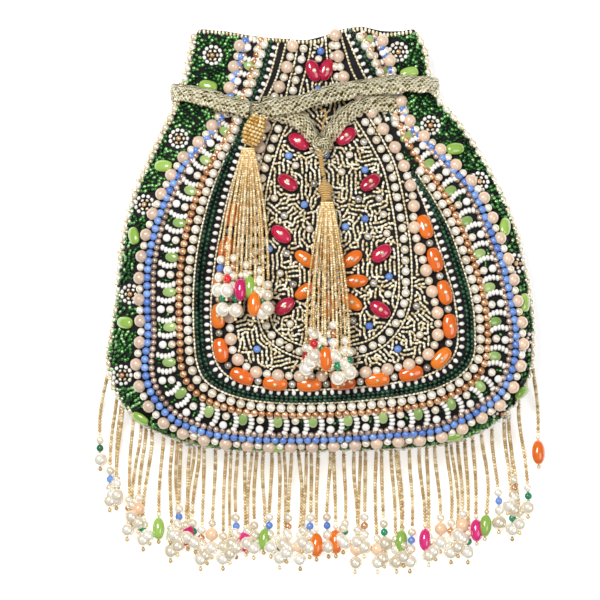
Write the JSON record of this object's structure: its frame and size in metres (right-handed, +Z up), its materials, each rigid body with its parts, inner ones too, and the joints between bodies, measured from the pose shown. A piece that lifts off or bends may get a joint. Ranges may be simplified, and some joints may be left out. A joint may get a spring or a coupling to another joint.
{
  "type": "beaded drawstring potli bag",
  "caption": "Plump drawstring pouch with a beaded front, two flat metallic braids, two bead tassels and a bead fringe, lying on its back.",
  "frame": {"origin": "under the middle of the whole bag's box, on the surface that the bag lies on", "axes": "+X to the right as the beaded front is seen, +Y towards the mouth, +Z up out of the beaded front"},
  "size_m": [0.2074, 0.2568, 0.0534],
  "materials": {
    "beadwork": "glass and pearl beads sewn closely over black cloth",
    "cloth": "plain black satin",
    "lining": "plain satin",
    "braid": "flat metallic mesh braid",
    "gold_beads": "metallic gold seed beads with pearls and stones",
    "gold_thread": "silky gold thread"
  },
  "bodies": {
    "bag": {"front_panel": "beadwork", "back_panel": "cloth", "lining": "lining", "outer_drawstring": "braid", "inner_drawstring": "braid", "inner_drawstring_knot": "braid", "fringe_strand_01": "gold_beads", "fringe_strand_02": "gold_beads", "fringe_strand_03": "gold_beads", "fringe_strand_04": "gold_beads", "fringe_strand_05": "gold_beads", "fringe_strand_06": "gold_beads", "fringe_strand_07": "gold_beads", "fringe_strand_08": "gold_beads", "fringe_strand_09": "gold_beads", "fringe_strand_10": "gold_beads", "fringe_strand_11": "gold_beads", "fringe_strand_12": "gold_beads", "fringe_strand_13": "gold_beads", "fringe_strand_14": "gold_beads", "fringe_strand_15": "gold_beads", "fringe_strand_16": "gold_beads", "fringe_strand_17": "gold_beads", "fringe_strand_18": "gold_beads", "fringe_strand_19": "gold_beads", "fringe_strand_20": "gold_beads", "fringe_strand_21": "gold_beads", "fringe_strand_22": "gold_beads", "fringe_strand_23": "gold_beads", "fringe_strand_24": "gold_beads", "fringe_strand_25": "gold_beads", "fringe_strand_26": "gold_beads", "fringe_strand_27": "gold_beads", "fringe_strand_28": "gold_beads", "fringe_strand_29": "gold_beads", "fringe_strand_30": "gold_beads", "fringe_strand_31": "gold_beads", "fringe_strand_32": "gold_beads", "fringe_strand_33": "gold_beads", "fringe_strand_34": "gold_beads", "fringe_strand_35": "gold_beads", "fringe_strand_36": "gold_beads", "fringe_strand_37": "gold_beads", "fringe_strand_38": "gold_beads", "fringe_strand_39": "gold_beads", "fringe_strand_40": "gold_beads", "fringe_strand_41": "gold_beads", "fringe_strand_42": "gold_beads", "fringe_strand_43": "gold_beads", "fringe_strand_44": "gold_beads", "fringe_strand_45": "gold_beads"},
    "left_cap": {"left_tassel_cap": "gold_beads"},
    "left_strands": {"left_tassel_strands": "gold_beads"},
    "right_link": {"right_tassel_link": "gold_thread"},
    "right_strands": {"right_tassel_head": "gold_thread", "right_tassel_strands": "gold_beads"}
  },
  "joints": [
    {"name": "left_tassel_swing", "type": "hinge", "parent": "bag", "child": "left_cap", "pos_m": [-0.0276, 0.0855, 0.0377], "axis": [0, 0, 1], "range_deg": [-30, 5]},
    {"name": "left_tassel_lift", "type": "hinge", "parent": "left_cap", "child": "left_strands", "pos_m": [-0.0324, 0.0704, 0.0379], "axis": [-1, 0, 0], "range_deg": [0, 90]},
    {"name": "right_tassel_swing", "type": "hinge", "parent": "bag", "child": "right_link", "pos_m": [0.0008, 0.0681, 0.0389], "axis": [0, 0, 1], "range_deg": [-5, 20]},
    {"name": "right_tassel_lift", "type": "hinge", "parent": "right_link", "child": "right_strands", "pos_m": [0.0025, 0.0572, 0.0425], "axis": [-1, 0, 0], "range_deg": [0, 90]}
  ]
}
